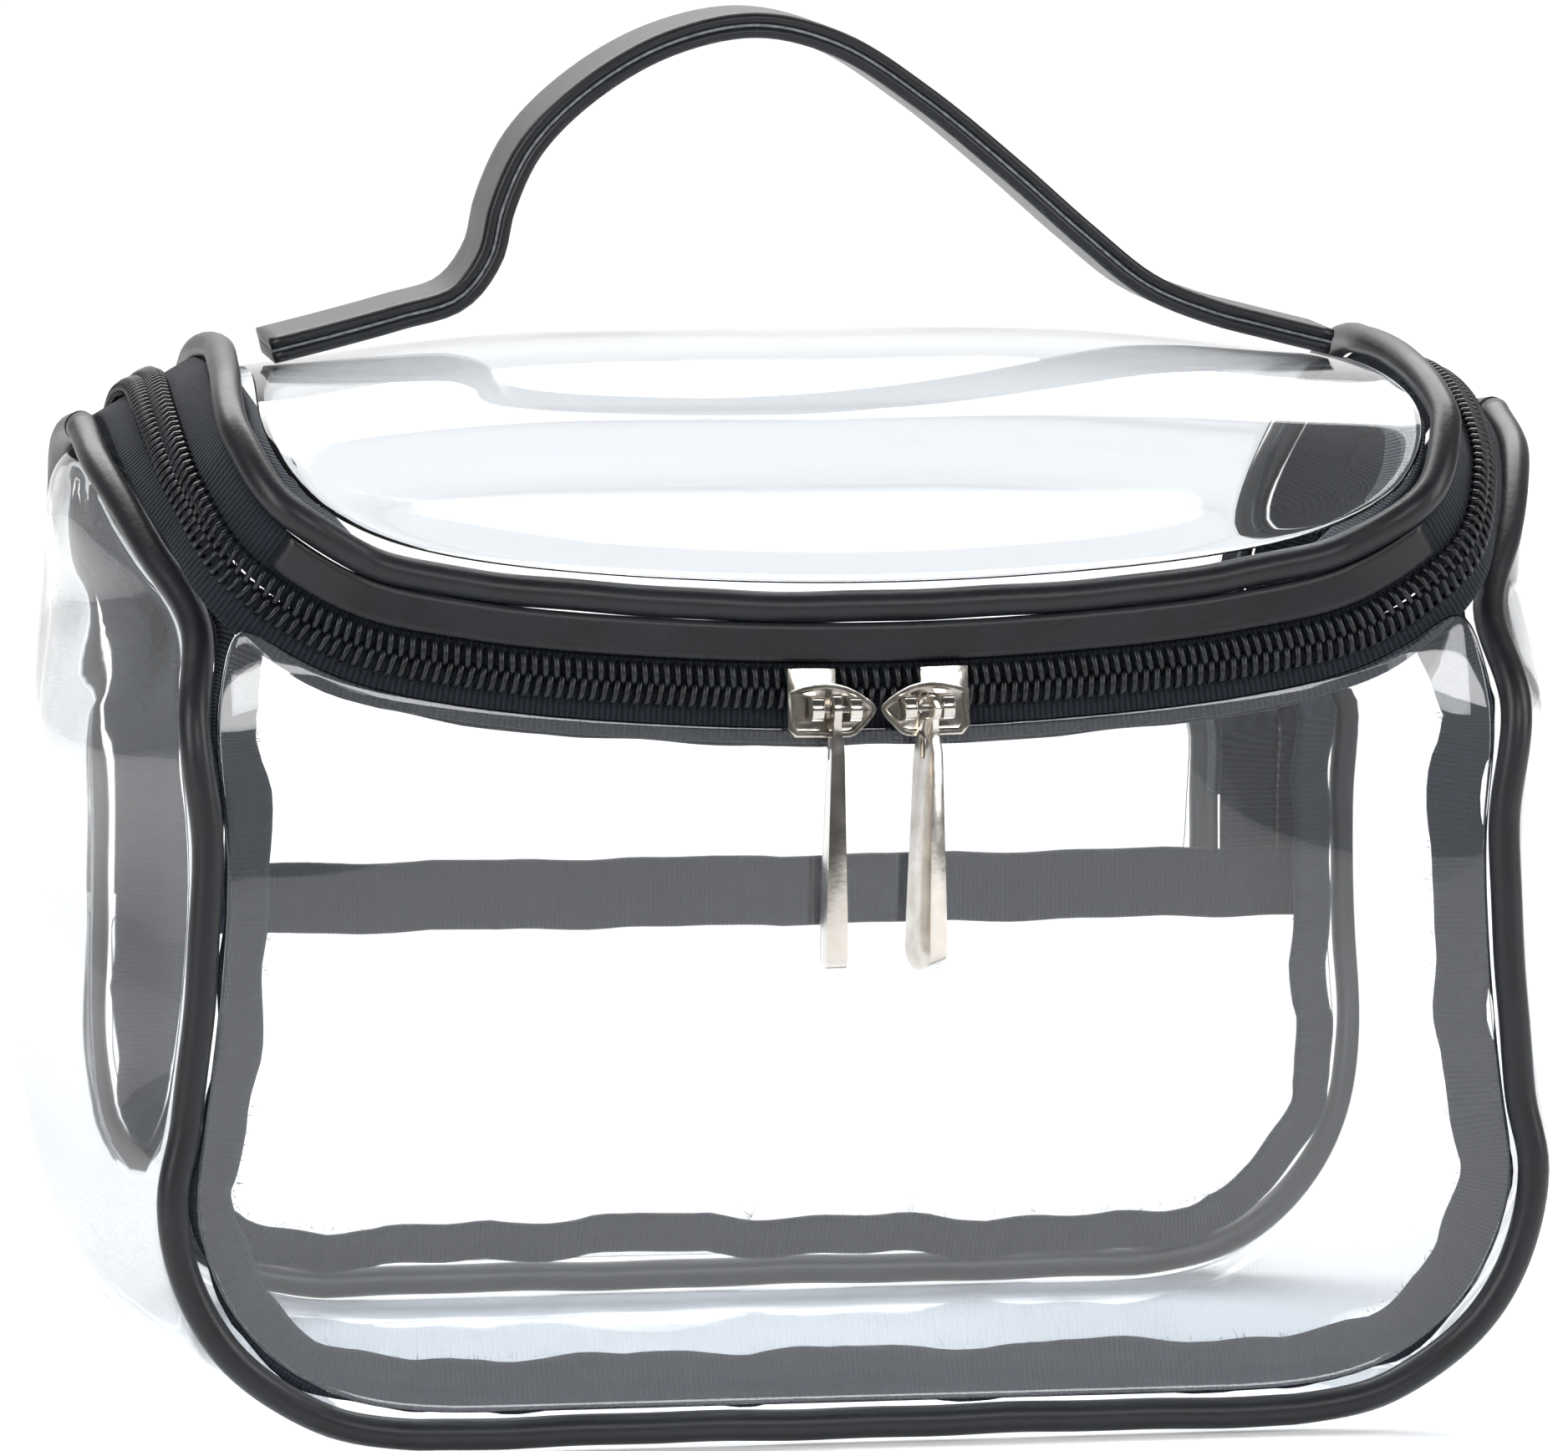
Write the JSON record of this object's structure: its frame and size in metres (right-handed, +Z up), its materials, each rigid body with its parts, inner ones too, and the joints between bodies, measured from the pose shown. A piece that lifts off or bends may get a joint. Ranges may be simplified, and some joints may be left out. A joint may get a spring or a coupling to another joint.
{
  "type": "makeup bag",
  "caption": "Clear PVC makeup bag with black piping, a zip round three sides, a lid hinged at the back and a strap handle on top.",
  "frame": {"origin": "centre of the base, on the floor plane the bag stands on", "axes": "+X to the wearer's right along the bag's width, -Y to the front where the sliders meet, +Z up"},
  "size_m": [0.2594, 0.139, 0.2211],
  "materials": {
    "clear_pvc": "clear gloss soft PVC sheet, about 0.8 mm as modelled",
    "black_pu": "charcoal black imitation leather, fine grain, satin",
    "woven_tape": "ribbed woven polyester, matt",
    "nylon_coil": "black nylon monofilament coil",
    "nickel": "bright nickel plating"
  },
  "bodies": {
    "shell": {"front_panel": "clear_pvc", "back_panel": "clear_pvc", "gusset_strip": "clear_pvc", "front_piping": "black_pu", "back_piping": "black_pu", "front_seam_binding": "woven_tape", "back_seam_binding": "woven_tape", "lower_zip_tape": "woven_tape", "lower_zip_coil": "nylon_coil", "lower_zip_binding": "woven_tape", "hinge_binding": "woven_tape"},
    "lid": {"lid_panel": "clear_pvc", "lid_piping": "black_pu", "upper_zip_tape": "woven_tape", "upper_zip_coil": "nylon_coil", "upper_zip_facing": "black_pu", "lid_seam_binding": "woven_tape", "handle_left_end_outer": "black_pu", "handle_left_end_inner": "black_pu", "handle_right_end_outer": "black_pu", "handle_right_end_inner": "black_pu"},
    "handle": {"handle_arch_outer": "black_pu", "handle_arch_inner": "black_pu"},
    "left_slider": {"left_slider_plate": "nickel", "left_slider_bail": "nickel"},
    "right_slider": {"right_slider_plate": "nickel", "right_slider_bail": "nickel"},
    "left_pull": {"left_pull": "nickel"},
    "right_pull": {"right_pull": "nickel"}
  },
  "joints": [
    {"name": "lid_hinge", "type": "hinge", "parent": "shell", "child": "lid", "pos_m": [0, 0.0682, 0.0675], "axis": [-1, 0, 0], "range_deg": [0, 110]},
    {"name": "handle_lean", "type": "hinge", "parent": "lid", "child": "handle", "pos_m": [0, 0, 0.187], "axis": [1, 0, 0], "range_deg": [-30, 30]},
    {"name": "left_slider_travel", "type": "hinge", "parent": "shell", "child": "left_slider", "pos_m": [0, -0.06, 0.5688], "axis": [0, -1, 0], "range_deg": [-6.3, 0]},
    {"name": "right_slider_travel", "type": "hinge", "parent": "shell", "child": "right_slider", "pos_m": [0, -0.06, 0.5688], "axis": [0, -1, 0], "range_deg": [0, 5.8]},
    {"name": "left_pull_swing", "type": "hinge", "parent": "left_slider", "child": "left_pull", "pos_m": [-0.00533, -0.06749, 0.11653], "axis": [-1, 0, 0], "range_deg": [0, 140]},
    {"name": "right_pull_swing", "type": "hinge", "parent": "right_slider", "child": "right_pull", "pos_m": [0.00935, -0.06749, 0.11659], "axis": [-1, 0, 0], "range_deg": [0, 140]}
  ]
}
